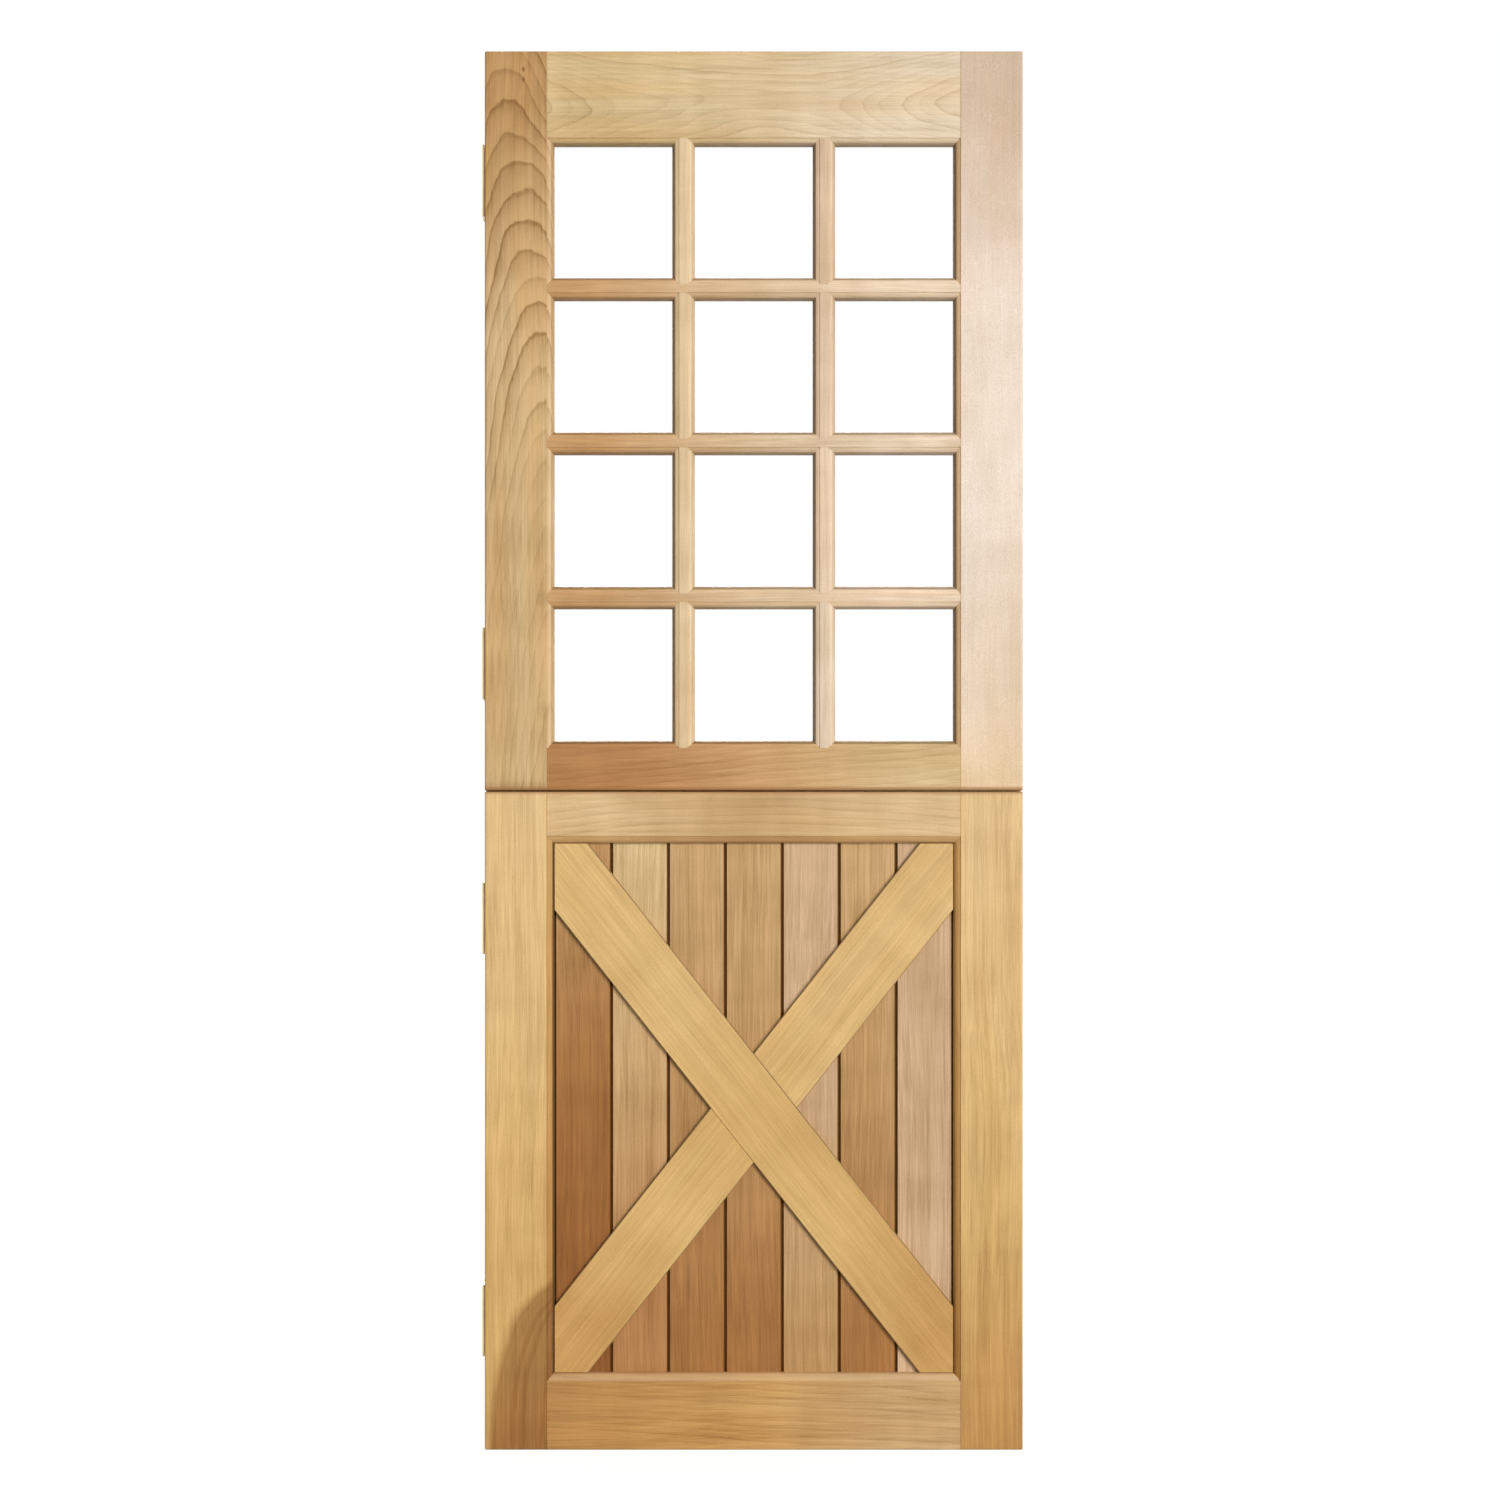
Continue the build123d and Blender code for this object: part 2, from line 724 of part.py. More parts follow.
lower_top_rail = make_rail(
    panel_top,
    (lower_top, lower_back_top),
    draw_grooved_edge,
    lower_stile_room,
    lower_top_tenon,
    rebate=lower_rebate,
    screws=lower_leaf_screws,
)
write(lower_top_rail, "lower_top_rail")
lower_bottom_rail = make_rail(
    panel_bottom,
    (0, 0),
    draw_grooved_edge,
    lower_stile_room,
    lower_bottom_tenon,
)
write(lower_bottom_rail, "lower_bottom_rail")

# Boards. Each has a groove at its left and a tongue at its right, and the two outer ones go
# into the stiles behind the same shadow line.
board_pitch = 2 * opening_half / board_count
v_bottom = infill_front + board_front_v_depth
tongue_front = (infill_front + infill_back - tongue_thickness) / 2
tongue_back = tongue_front + tongue_thickness


def draw_board_left(x, is_first):
    """Left edge of a board, from its front face to its back face."""
    edge = x + board_gap / 2
    points = [(edge + board_front_v, infill_front), (edge, v_bottom)]
    if is_first:
        points += [(x - board_entry, v_bottom), (x - board_entry, infill_back)]
    else:
        bottom = edge + tongue_length + tongue_end_play
        points += [
            (edge, tongue_front - tongue_play),
            (bottom, tongue_front - tongue_play),
            (bottom, tongue_back + tongue_play),
            (edge, tongue_back + tongue_play),
            (edge, infill_back - board_back_v),
            (edge + board_back_v, infill_back),
        ]
    Polyline(*points)
    return points[0], points[-1]


def draw_board_right(x, is_last):
    """Right edge of a board, from its front face to its back face."""
    edge = x - board_gap / 2
    points = [(edge - board_front_v, infill_front), (edge, v_bottom)]
    if is_last:
        points += [(x + board_entry, v_bottom), (x + board_entry, infill_back)]
    else:
        points += [
            (edge, tongue_front),
            (edge + tongue_length, tongue_front),
            (edge + tongue_length, tongue_back),
            (edge, tongue_back),
            (edge, infill_back - board_back_v),
            (edge - board_back_v, infill_back),
        ]
    Polyline(*points)
    return points[0], points[-1]


for index in range(board_count):
    left_x = -opening_half + index * board_pitch
    with BuildPart() as board:
        with BuildSketch(Plane.XY.offset(panel_bottom - board_entry)):
            with BuildLine():
                left_front, left_back = draw_board_left(left_x, index == 0)
                right_front, right_back = draw_board_right(left_x + board_pitch, index == board_count - 1)
                Line(left_front, right_front)
                Line(left_back, right_back)
            make_face()
        extrude(amount=panel_top - panel_bottom + 2 * board_entry)
    write(board, f"board_{index + 1}")

# Braces, planted on the boards. The long one falls from the top left corner, set so that its top
# cut has the length given above. The other rises the opposite way and is cut in two by it.
brace_front = front + brace_setback
panel_half_height = (panel_top - panel_bottom) / 2
cut_x = opening_half - brace_top_cut
corner_reach = math.hypot(cut_x, panel_half_height)
brace_slope = math.atan2(panel_half_height, cut_x) - math.asin(brace_width / 2 / corner_reach)
brace_angle = math.degrees(brace_slope)
brace_reach = 2 * math.hypot(2 * opening_half, 2 * panel_half_height)
brace_span_x = opening_half - brace_end_gap
brace_span_z = 2 * (panel_half_height - brace_end_gap)


def make_brace(draw_outline):
    """A brace of the given outline, with its front arrises taken off."""
    with BuildPart() as brace:
        with BuildSketch(Plane.XZ.offset(-brace_front)):
            with Locations((0, (panel_top + panel_bottom) / 2)):
                draw_outline()
        extrude(amount=-(infill_front - brace_front))
        chamfer(brace.faces().filter_by(Axis.Y).sort_by(Axis.Y)[0].edges(), brace_arris)
    return brace


def draw_long_brace():
    Rectangle(brace_reach, brace_width, rotation=-brace_angle)
    Rectangle(2 * brace_span_x, brace_span_z, mode=Mode.INTERSECT)


def draw_short_brace(side):
    """Half of the rising brace, to the left or right of the middle, up to the long brace."""
    Rectangle(brace_reach, brace_width, rotation=brace_angle)
    Rectangle(brace_reach, brace_width, rotation=-brace_angle, mode=Mode.SUBTRACT)
    align = (Align.MIN if side > 0 else Align.MAX, Align.CENTER)
    Rectangle(brace_span_x, brace_span_z, align=align, mode=Mode.INTERSECT)


write(make_brace(draw_long_brace), "brace_long")
write(make_brace(lambda: draw_short_brace(-1)), "brace_lower_left")
write(make_brace(lambda: draw_short_brace(1)), "brace_upper_right")
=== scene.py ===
import math

import bpy
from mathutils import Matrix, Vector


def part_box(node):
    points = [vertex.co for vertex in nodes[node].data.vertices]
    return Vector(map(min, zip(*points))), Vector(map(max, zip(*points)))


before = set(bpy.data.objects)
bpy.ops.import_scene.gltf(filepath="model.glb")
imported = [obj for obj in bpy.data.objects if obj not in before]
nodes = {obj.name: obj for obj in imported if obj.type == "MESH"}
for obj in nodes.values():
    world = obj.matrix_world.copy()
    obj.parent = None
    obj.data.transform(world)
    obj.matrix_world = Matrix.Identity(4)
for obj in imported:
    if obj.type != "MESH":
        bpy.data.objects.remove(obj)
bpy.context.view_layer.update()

# Where the photograph was taken from: square on, from the door's mid height. The picture is
# 1500 pixels wide, and the door's front face fills the sizes below.
PICTURE = 1500
DOOR_PIXELS = (540.5, 1393.0)
DOOR_CENTRE = (753.75, 750.5)
CAMERA_DISTANCE = 4.0
SENSOR = 36.0

# Light: a soft key from the right and above, a weaker one from behind, and even surroundings
WORLD_LEVEL = 0.28
KEY = {"energy": 2.62, "azimuth": 30, "elevation": 15, "angle": 30}
REAR = {"energy": 1.7, "azimuth": 187, "elevation": 24, "angle": 20}
WHITE = (1.0, 1.0, 1.0, 1.0)
FLOOR_DROP = 0.0005
FLOOR_HALF = 14.0
FLOOR_WHITE = 0.45
FLOOR_LIFT = 0.80

# Wood tones, as the photograph shows them
# The first two tones are the wood lifted towards white by a painted highlight of glare
PEARL = (239, 220, 201)
ROSE = (233, 208, 179)
CREAM = (229, 197, 152)
FAWN = (213, 187, 161)
SAND = (221, 199, 167)
LINEN = (220, 192, 151)
BLUSH = (218, 190, 158)
PETAL = (227, 202, 172)
WHEAT = (217, 191, 149)
BISCUIT = (214, 185, 147)
STRAW = (209, 180, 131)
FLAX = (214, 180, 132)
DUSK = (203, 169, 131)
TAN = (204, 171, 123)
BARLEY = (198, 164, 115)
CAMEL = (199, 161, 112)
GINGER = (201, 157, 108)
COPPER = (197, 152, 104)
OCHRE = (188, 147, 96)
OAK = (181, 139, 88)
CLAY = (178, 127, 79)
RUSSET = (163, 113, 64)
CHESTNUT = (147, 95, 50)
BUTTER = (225, 190, 136)
HONEY = (219, 181, 121)
CORN = (216, 177, 115)
AMBER = (210, 170, 108)
TOFFEE = (199, 154, 94)
CARAMEL = (185, 138, 82)

# Sizes of the grain's features: about how many there are in a metre across the face, behind it
# and along the grain
FINE_SCALE = (620, 620, 11)
FIBRE_SCALE = (230, 230, 5)
STREAK_SCALE = (62, 62, 1.9)
BAND_SCALE = (6, 6, 21)
CLOUD_SCALE = (17, 17, 8)
SPECKLE_SCALE = (1300, 1300, 420)
HUE_SCALE = (26, 26, 3)
TONE_SCALE = (9, 9, 3)
WANDER_SCALE = (5, 5, 2.6)

# How far a seed of one moves a piece's grain, and how far chance moves its tones along
SEED_SHIFT = (3.7, 1.3, 5.1)
TONE_STRAY = 0.15

# How grain darkens a tone: the colour it multiplies by, and how dark the wood and its rings are
# on average
GRAIN_TINT = (0.42, 0.33, 0.15)
GRAIN_MEAN = 0.30
RING_MEAN = 0.21

# How the hue changes: the colour it multiplies by, how far it goes on average, and its gain
DRIFT_TINT = (1.0, 0.90, 0.76)
DRIFT_MEAN = 0.5
DRIFT_GAIN = 3.0

# The white that gloss adds to every tone
SHEEN = 0.015

# One growth ring, from its start at 0 to its end at 1: how it darkens, where the line at its end
# comes and goes, and how strong the weakest and the strongest rings are
GROWTH_BEND = 1.5
GROWTH_SHADE = 0.65
GROWTH_LINE = 0.33
GROWTH_LINE_COMES = (0.74, 0.89)
GROWTH_LINE_GOES = (0.91, 1.0)
WEAKEST_RING = 0.35
WEAKEST_ARCH = 0.45
STRONGEST = 1.1

# How rings and arches stray: in long waves, and in a tremble that is a share of those; and how
# blunt an arch is
RING_WAVES = (13, 13, 6)
RING_TREMBLES = (90, 90, 34)
RING_TREMBLE = 0.12
ARCH_WAVES = (12, 12, 9)
ARCH_TREMBLES = (85, 85, 60)
ARCH_TREMBLE = 0.22
ARCH_BLUNTNESS = 3.0

# The dark stain: its colour, the depths behind the face over which it ends, how its edge strays
# and spreads, how dark it is, and where its lines come and go
STAIN_TINT = (0.51, 0.38, 0.24)
STAIN_DEPTH = (0.006, 0.034)
STAIN_WAVES = (24, 24, 12)
STAIN_STRAY = 0.016
STAIN_EDGE = (-0.010, 0.016)
STAIN_SHADE = 0.84
STAIN_LINE = 0.24
STAIN_LINE_COMES = (0.1, 0.8)
STAIN_LINE_GOES = (0.85, 1.0)

# Painted shade of the gap where the leaves meet, as a brown band: from where it starts above to
# where it ends below, on the face alone
SEAM = (156, 106, 59)
SEAM_STRENGTH = 0.72
SEAM_ABOVE = (0.9405, 0.9370)
SEAM_DEPTH = (0.0020, 0.0008)
SEAM_BELOW = (0.9262, 0.9325)

# Painted shade in the V-grooves between boards: the depths behind their face where it starts and ends
GROOVE = (104, 64, 22)
GROOVE_STARTS = (0.0001, 0.0004)
GROOVE_ENDS = (0.0032, 0.0040)

# Colours of the painted shade and highlight on moulded edges: the tint of the painted shade, the
# colour of the painted highlight, and that of the painted shade line beside the glass or the
# boards. Then how wide a moulding is, and how softly it and the line start.
EDGE_TINT = (0.58, 0.38, 0.08)
GLEAM = (232, 200, 160)
EDGE_LINE = (104, 76, 40)
MOULDING = 0.010
MOULDING_FADE = 0.0012
LINE_FADE = 0.0014

# Painted shade and highlight on moulded edges, for a moulding that faces left, right, up or down:
# how dark the painted shade on all of it is, or how bright its painted highlight if the value is
# negative, how dark the painted shade line is, and how wide the line is
LIT_EDGES = {
    "left": (0.10, 0.80, 0.0036),
    "right": (0.0, 0.22, 0.0036),
    "up": (0.0, 0.62, 0.0036),
    "down": (0.10, 0.40, 0.0030),
}
PANEL_EDGES = {
    "left": (0.62, 0.10, 0.0018),
    "right": (0.62, 0.95, 0.0018),
    "up": (-0.30, 0.0, 0.0018),
    "down": (0.42, 0.0, 0.0018),
}
STILE_EDGES = {
    "left": (0.64, 0.75, 0.0036),
    "right": (-0.25, 0.30, 0.0036),
}

# Shade along a joint's shoulder and along both long arrises: how dark the shoulder's is, and at
# what distances from its line each starts and is full
SHOULDER_SHADE = 0.28
SHOULDER_FADE = (0.0012, 0.0004)
ARRIS_FADE = (0.0016, 0.0006)

# The wood's finish: its roughness and gloss, and how high fibres and speckle stand
ROUGHNESS = 0.47
FIBRE_ROUGHNESS = 0.30
WOOD_GLOSS = 0.30
FIBRE_RELIEF = 0.8
SPECKLE_RELIEF = 0.6
WOOD_BUMP = {"Strength": 0.30, "Distance": 0.0004}

# Brass: its colour and roughness, its tarnish, and its polishing marks
PLATE_BRASS = ((214, 182, 122), 0.32)
SCREW_BRASS = ((204, 168, 104), 0.26)
TARNISH = (176, 142, 88)
TARNISH_SCALE = (34, 34, 34)
TARNISH_SPREAD = (-0.20, 0.40)
POLISH_SCALE = (2600, 2600, 90)
POLISH_ROUGHNESS = 0.18
BRASS_BUMP = {"Strength": 0.15, "Distance": 0.0001}

# Glass: how much it bends light, and its faint waviness
GLASS_INDEX = 1.45
GLASS_SCALE = (14, 14, 14)
GLASS_BUMP = {"Strength": 0.02, "Distance": 0.001}

# How far the grain leans from upright in level pieces and in the braces, and the size of a
# whole brace
LEVEL = math.radians(90)
BRACE_LEAN = math.radians(38.3)
BRACE_WIDTH = 0.096
BRACE_LENGTH = 0.92

# Where a Mix node of colours keeps its factor, its colours and its result
MIX_FACTOR = 0
MIX_FIRST = 6
MIX_SECOND = 7
MIX_RESULT = 2


def linear(colour):
    """A colour given as 0 to 255 in sRGB, as linear RGB."""
    def channel(value):
        value /= 255
        return value / 12.92 if value <= 0.04045 else ((value + 0.055) / 1.055) ** 2.4
    return [channel(value) for value in colour]


def opaque(colour):
    """A colour given as 0 to 255 in sRGB, as linear RGB and an alpha of one."""
    return (*linear(colour), 1.0)


def undarkened(tone):
    """The colour that grain and drift bring down, and the sheen up, to the tone on average."""
    light = []
    for value, grain, drift in zip(linear(tone), GRAIN_TINT, DRIFT_TINT):
        value = (value - SHEEN) / (1 - GRAIN_MEAN * (1 - grain))
        value /= 1 - DRIFT_MEAN * (1 - drift)
        light.append(value)
    return (*light, 1.0)


class Tree:
    """Adds nodes to a material or world, and links each to what it reads."""

    def __init__(self, owner):
        owner.use_nodes = True
        self.nodes = owner.node_tree.nodes
        self.links = owner.node_tree.links
        self.nodes.clear()

    def add(self, kind, sockets=(), **settings):
        """A new node, with its settings, and with a link or a value for each named socket."""
        node = self.nodes.new(kind)
        for key, value in settings.items():
            setattr(node, key, value)
        for key, value in dict(sockets).items():
            if isinstance(value, bpy.types.NodeSocket):
                self.links.new(value, node.inputs[key])
            else:
                node.inputs[key].default_value = value
        return node

    def math(self, operation, *values, clamp=False):
        node = self.add("ShaderNodeMath", dict(enumerate(values)), operation=operation, use_clamp=clamp)
        return node.outputs[0]

    def sum(self, first, *weighted):
        """The first value, plus each further value times its weight."""
        total = first
        for value, weight in weighted:
            total = self.math("MULTIPLY_ADD", value, weight, total)
        return total

    def largest(self, values):
        first, *others = values
        for value in others:
            first = self.math("MAXIMUM", first, value)
        return first

    def vector(self, operation, first, second):
        node = self.add("ShaderNodeVectorMath", {0: first, 1: second}, operation=operation)
        return node.outputs[0]

    def split(self, vector):
        """A vector's three parts."""
        return self.add("ShaderNodeSeparateXYZ", {0: vector}).outputs

    def noise(self, place, scale, detail=0.0, roughness=0.5):
        """Noise about zero, with its features sized by a scale in each direction."""
        sockets = {
            "Vector": self.vector("MULTIPLY", place, scale),
            "Scale": 1.0,
            "Detail": detail,
            "Roughness": roughness,
        }
        return self.math("SUBTRACT", self.add("ShaderNodeTexNoise", sockets).outputs[0], 0.5)

    def chance(self, count):
        """A random value from nought to one, the same between one whole number and the next."""
        sockets = {"W": self.math("FLOOR", count)}
        return self.add("ShaderNodeTexWhiteNoise", sockets, noise_dimensions="1D").outputs["Value"]

    def step(self, value, low, high, to_low=0.0, to_high=1.0):
        """Goes smoothly from one value to another as the input goes from low to high."""
        sockets = {
            "Value": value, "From Min": low, "From Max": high, "To Min": to_low, "To Max": to_high,
        }
        return self.add("ShaderNodeMapRange", sockets, interpolation_type="SMOOTHSTEP").outputs[0]

    def fade(self, value, low, high):
        """Goes smoothly from one down to nought as the input goes from low to high."""
        return self.step(value, low, high, 1.0, 0.0)

    def mix(self, factor, first, second, blend="MIX"):
        sockets = {MIX_FACTOR: factor, MIX_FIRST: first, MIX_SECOND: second}
        node = self.add("ShaderNodeMix", sockets, data_type="RGBA", blend_type=blend)
        return node.outputs[MIX_RESULT]

    def darkened(self, colour, factor, tint):
        """The colour, multiplied by a tint as far as the factor says."""
        return self.mix(factor, colour, self.mix(1.0, colour, (*tint, 1.0), blend="MULTIPLY"))

    def ramp(self, value, stops):
        """A colour that changes along the value, from stop to stop."""
        node = self.add("ShaderNodeValToRGB", {0: value})
        elements = node.color_ramp.elements
        while len(elements) < len(stops):
            elements.new(0.5)
        for element, (place, colour) in zip(elements, stops):
            element.position = place
            element.color = colour
        return node.outputs[0]

    def surface(self, shader):
        self.add("ShaderNodeOutputMaterial", {"Surface": shader.outputs[0]})


# How a piece of wood looks, unless its own look says otherwise. fine, fibre, streak, band, cloud
# and speckle say how strongly each kind of grain shows, figure the same for rings or arches,
# drift how much the hue changes, and wander how far the grain strays from straight.
PLAIN = {
    "seed": 0, "fine": 0.70, "fibre": 0.70, "streak": 0.40, "band": 0.35, "cloud": 0.30,
    "speckle": 0.25, "drift": 0.4, "wander": 0.02, "figure": 0.0, "rings": None, "arches": None,
    "marks": (), "stain": None, "edges": {}, "ends": None, "arris": 0.0, "groove": False,
    "seam": False,
}


def growth_darkness(t, count, least):
    """Growth rings that darken up to a sharp edge, each as strong as chance makes it."""
    part = t.math("FRACT", count)
    shade = t.math("MULTIPLY", t.math("POWER", part, GROWTH_BEND), GROWTH_SHADE)
    line = t.math("MULTIPLY", t.step(part, *GROWTH_LINE_COMES), GROWTH_LINE)
    late = t.math("MULTIPLY", t.math("ADD", shade, line), t.fade(part, *GROWTH_LINE_GOES))
    return t.math("MULTIPLY", late, t.step(t.chance(count), 0.0, 1.0, least, STRONGEST))


def ring_darkness(t, own, spot, rings):
    """Growth rings round a pith line behind the face.

    rings gives the pith's place across and behind the face at the piece's middle, how both change
    along the grain, the width of a ring, and how far the rings stray.
    """
    across, deep, along = t.split(own)
    squared = t.math("MULTIPLY", along, along)
    pith_across = t.sum(rings["across"], (along, rings["lean"]), (squared, rings["arch"]))
    pith_depth = t.sum(rings["depth"], (along, rings["sink"]), (squared, rings["bow"]))
    aside = t.math("SUBTRACT", across, pith_across)
    below = t.math("ADD", deep, pith_depth)
    squares = t.math("ADD", t.math("MULTIPLY", aside, aside), t.math("MULTIPLY", below, below))
    radius = t.sum(
        t.math("SQRT", squares),
        (t.noise(spot, RING_WAVES, detail=1.0), rings["stray"]),
        (t.noise(spot, RING_TREMBLES, detail=1.0), rings["stray"] * RING_TREMBLE),
    )
    return growth_darkness(t, t.math("DIVIDE", radius, rings["width"]), WEAKEST_RING)


def arch_darkness(t, own, spot, arches):
    """Growth lines nested in blunt arches, one above the other along the grain.

    arches gives the place of their tops across the piece's middle and how it leans, half the
    width and the height of an arch's shoulders, how far apart the arches are, how far each step
    behind the face moves them along, how far they stray, and between which two places they fade,
    from how much to how much.
    """
    across, deep, along = t.split(own)
    aside = t.math("SUBTRACT", across, t.sum(arches["across"], (along, arches["lean"])))
    aside = t.math("DIVIDE", aside, arches["shoulder"])
    aside = t.math("POWER", t.math("ABSOLUTE", aside), ARCH_BLUNTNESS)
    fall = t.math("SUBTRACT", t.math("SQRT", t.math("ADD", aside, 1.0)), 1.0)
    climb = t.sum(
        along,
        (fall, arches["fall"]),
        (deep, arches["sink"]),
        (t.noise(spot, ARCH_WAVES, detail=1.0), arches["stray"]),
        (t.noise(spot, ARCH_TREMBLES, detail=1.0), arches["stray"] * ARCH_TREMBLE),
    )
    growth = growth_darkness(t, t.math("DIVIDE", climb, arches["apart"]), WEAKEST_ARCH)
    return t.math("MULTIPLY", growth, t.step(along, *arches["fade"]))


def mark_darkness(t, own, mark):
    """A soft oval mark, full in its middle.

    mark gives its place across and along from the piece's middle, and half its width and length.
    """
    across_at, along_at, half_across, half_along = mark
    across, _, along = t.split(own)
    aside = t.math("DIVIDE", t.math("SUBTRACT", across, across_at), half_across)
    beyond = t.math("DIVIDE", t.math("SUBTRACT", along, along_at), half_along)
    far = t.math("MULTIPLY_ADD", beyond, beyond, t.math("MULTIPLY", aside, aside))
    return t.fade(far, 0.0, 1.0)


def stain_darkness(t, own, spot, stain):
    """Dark wood past a curve that sweeps across the piece, with lines that follow the curve.

    stain gives the side where the curve keeps low down, how much further across it is at its top
    and how high that is, over what reach it bends there, and the width of a line.
    """
    across, deep, along = t.split(own)
    fall = t.math("EXPONENT", t.math("DIVIDE", t.math("SUBTRACT", along, stain["top"]), stain["reach"]))
    curve = t.math("MULTIPLY_ADD", fall, stain["width"], stain["side"])
    inside = t.math("SUBTRACT", across, curve)
    inside = t.sum(inside, (t.noise(spot, STAIN_WAVES, detail=2.0), STAIN_STRAY))
    count = t.math("DIVIDE", inside, stain["line"])
    part = t.math("FRACT", count)
    lines = t.math("MULTIPLY", t.step(part, *STAIN_LINE_COMES), t.fade(part, *STAIN_LINE_GOES))
    lines = t.math("MULTIPLY", lines, t.chance(count))
    dark = t.math("MULTIPLY_ADD", lines, STAIN_LINE, STAIN_SHADE)
    dark = t.math("MULTIPLY", dark, t.fade(deep, *STAIN_DEPTH))
    return t.math("MULTIPLY", t.step(inside, *STAIN_EDGE), dark)


def seam_strength(t, world, deep):
    """How much of the seam's painted shade shows, by height and by depth behind the face."""
    level = t.split(world)[2]
    seam = t.math("MULTIPLY", t.step(level, *SEAM_BELOW), t.step(level, *SEAM_ABOVE))
    return t.math("MULTIPLY", seam, t.step(deep, *SEAM_DEPTH, 0.0, SEAM_STRENGTH))


def wandering(t, own, look):
    """Where a piece's grain is read: moved by its seed, and straying a little from straight."""
    spot = t.vector("ADD", own, [look["seed"] * shift for shift in SEED_SHIFT])
    shift = t.math("MULTIPLY", t.noise(spot, WANDER_SCALE), look["wander"])
    shift = t.add("ShaderNodeCombineXYZ", {0: shift, 1: shift}).outputs[0]
    return t.vector("ADD", spot, shift)


def grain_darkness(t, own, spot, fine, fibre, speckle, look):
    """How dark all the grain makes the wood, from nought to one."""
    dark = t.sum(
        t.math("MULTIPLY_ADD", fine, look["fine"], GRAIN_MEAN - RING_MEAN * look["figure"]),
        (fibre, look["fibre"]),
        (t.noise(spot, STREAK_SCALE, detail=1.0), look["streak"]),
        (t.noise(spot, BAND_SCALE, detail=1.0), look["band"]),
        (t.noise(spot, CLOUD_SCALE, detail=2.0), look["cloud"]),
        (speckle, look["speckle"]),
    )
    if look["rings"]:
        dark = t.sum(dark, (ring_darkness(t, own, spot, look["rings"]), look["figure"]))
    if look["arches"]:
        dark = t.sum(dark, (arch_darkness(t, own, spot, look["arches"]), look["figure"]))
    for *mark, strength in look["marks"]:
        dark = t.sum(dark, (mark_darkness(t, own, mark), strength))
    return t.math("MINIMUM", t.math("MAXIMUM", dark, 0.0), 1.0)


def drifting_tone(t, spot, along, half_length, tones, drift):
    """The tones from the low or left end of the piece to the other, with a slow change of hue."""
    position = t.math("MULTIPLY_ADD", along, 0.5 / half_length, 0.5)
    position = t.sum(position, (t.noise(spot, TONE_SCALE), TONE_STRAY))
    colour = t.ramp(position, [(place, undarkened(tone)) for place, tone in tones])
    hue = t.noise(spot, HUE_SCALE, detail=2.0)
    hue = t.math("MULTIPLY_ADD", hue, DRIFT_GAIN * drift, DRIFT_MEAN, clamp=True)
    return t.darkened(colour, hue, DRIFT_TINT)


def edged(t, colour, across, along, half_width, look):
    """The colour, with painted shade and highlight on mouldings, joints and arrises.

    Mouldings that face left or up lie where the place across the piece is negative.
    """
    shades = [0.0]
    gleams = [0.0]
    lines = [0.0]
    for side, (whole, line, width) in look["edges"].items():
        inset = t.math("MULTIPLY", across, -1.0 if side in ("left", "up") else 1.0)
        moulding = half_width - MOULDING
        group = shades if whole > 0 else gleams
        group.append(t.step(inset, moulding - MOULDING_FADE, moulding, 0.0, abs(whole)))
        beside = half_width - width
        lines.append(t.step(inset, beside - LINE_FADE, beside, 0.0, line))
    if look["ends"]:
        fade = [look["ends"] - distance for distance in SHOULDER_FADE]
        shades.append(t.step(t.math("ABSOLUTE", along), *fade, 0.0, SHOULDER_SHADE))
    if look["arris"]:
        fade = [half_width - distance for distance in ARRIS_FADE]
        lines.append(t.step(t.math("ABSOLUTE", across), *fade, 0.0, look["arris"]))
    # Painted highlight, then painted shade, then the painted shade line beside glass or boards
    colour = t.mix(t.largest(gleams), colour, opaque(GLEAM))
    colour = t.darkened(colour, t.largest(shades), EDGE_TINT)
    return t.mix(t.largest(lines), colour, opaque(EDGE_LINE))


